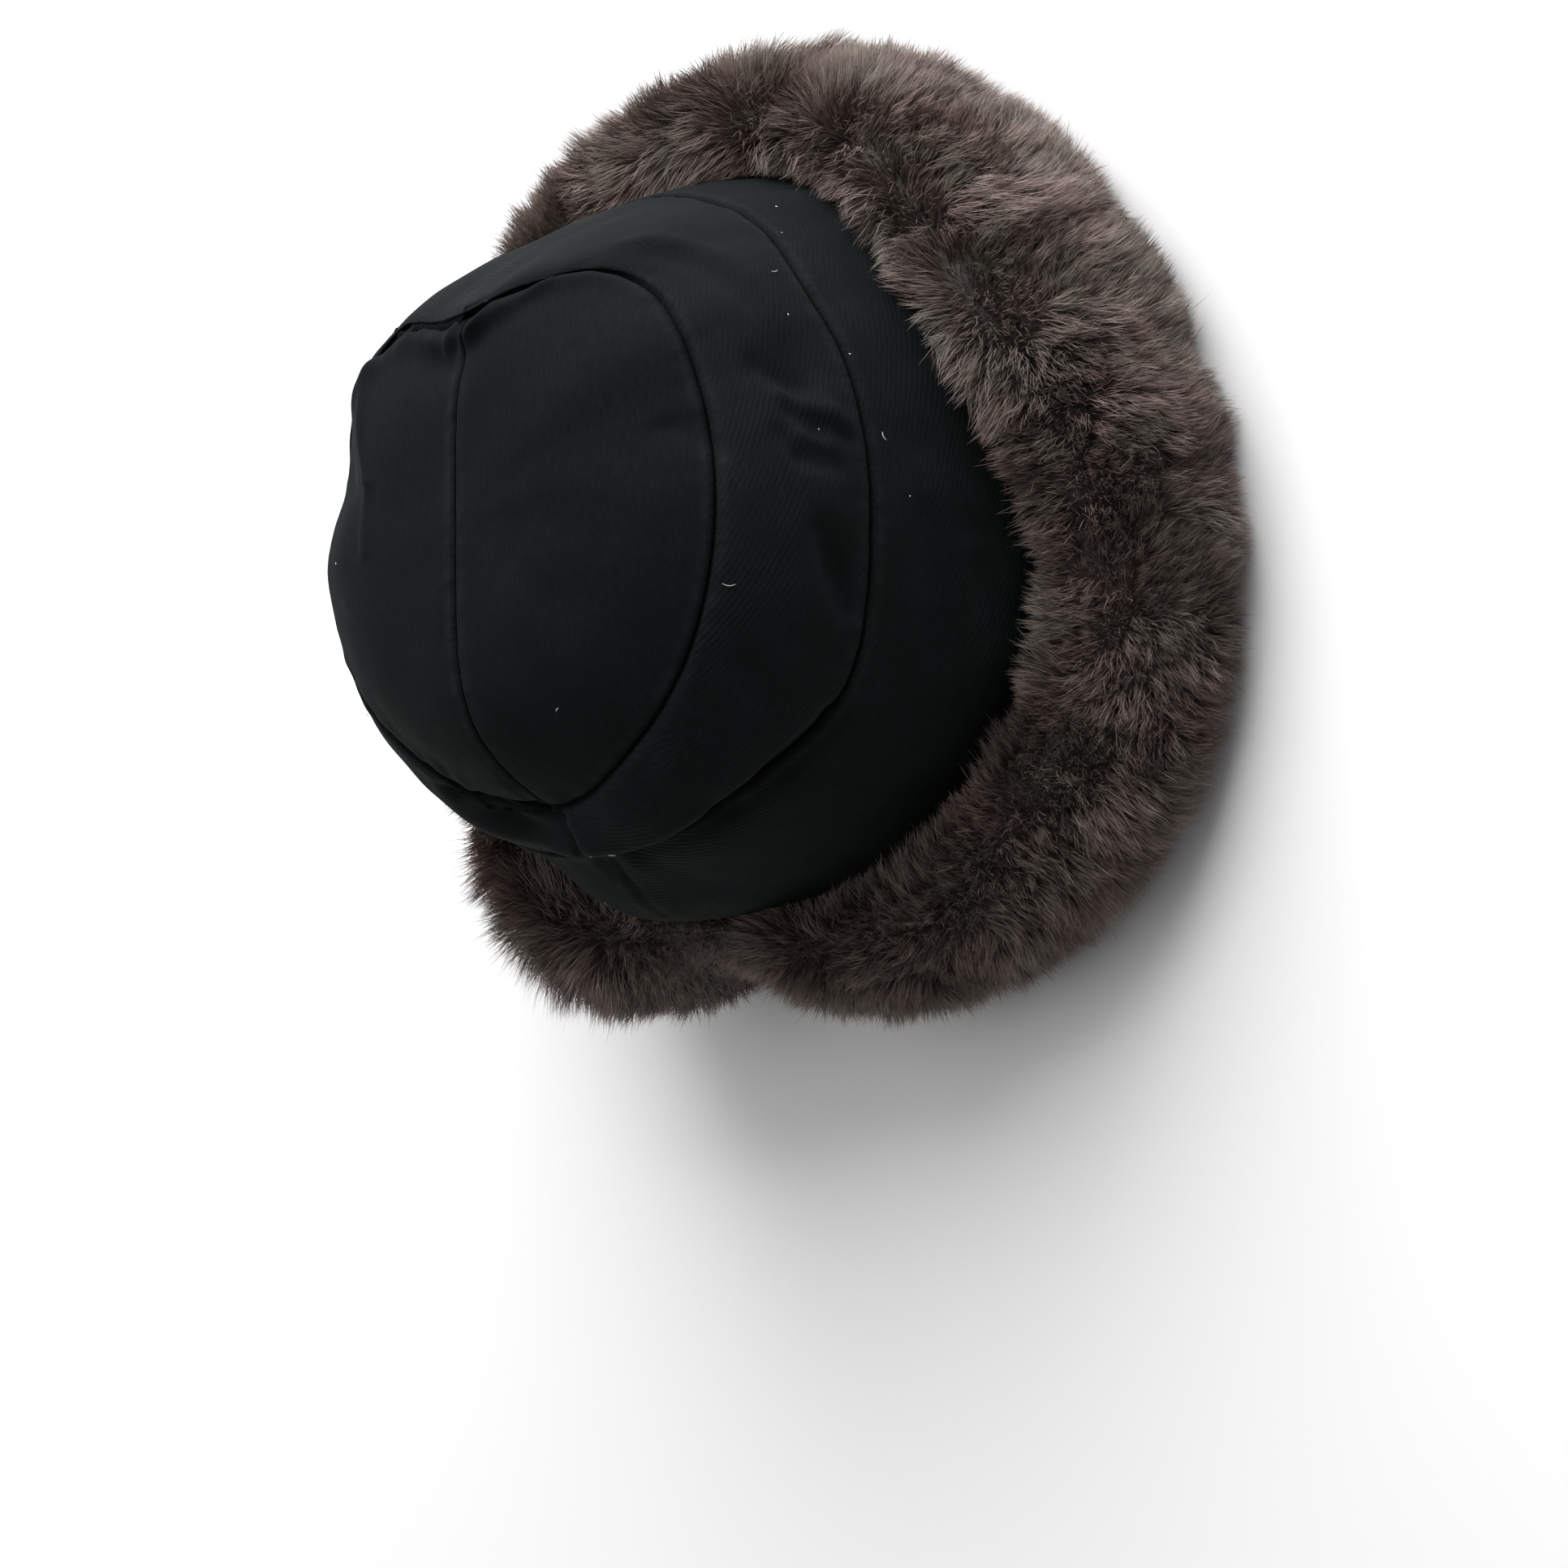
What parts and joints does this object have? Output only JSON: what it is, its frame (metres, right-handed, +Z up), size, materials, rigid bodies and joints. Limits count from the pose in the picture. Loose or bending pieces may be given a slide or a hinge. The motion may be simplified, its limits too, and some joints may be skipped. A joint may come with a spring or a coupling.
{
  "type": "fur-brimmed winter hat",
  "caption": "Soft winter bucket hat: a seamed cloth crown, hollow underneath for the head, with a thick fur roll as its brim.",
  "frame": {"origin": "middle of the hat's footprint, at the level of the brim's flat underside", "axes": "+Z up through the crown, -Y to the wearer's front, -X to the wearer's right"},
  "size_m": [0.2908, 0.2912, 0.177],
  "materials": {
    "crown_cloth": "matt near-black ribbed cloth",
    "brim_fur": "deep taupe-brown faux fur pile"
  },
  "bodies": {
    "root": {"tip_panel_right": "crown_cloth", "tip_panel_left": "crown_cloth", "upper_band": "crown_cloth", "lower_band": "crown_cloth", "fur_brim": "brim_fur"}
  },
  "joints": []
}
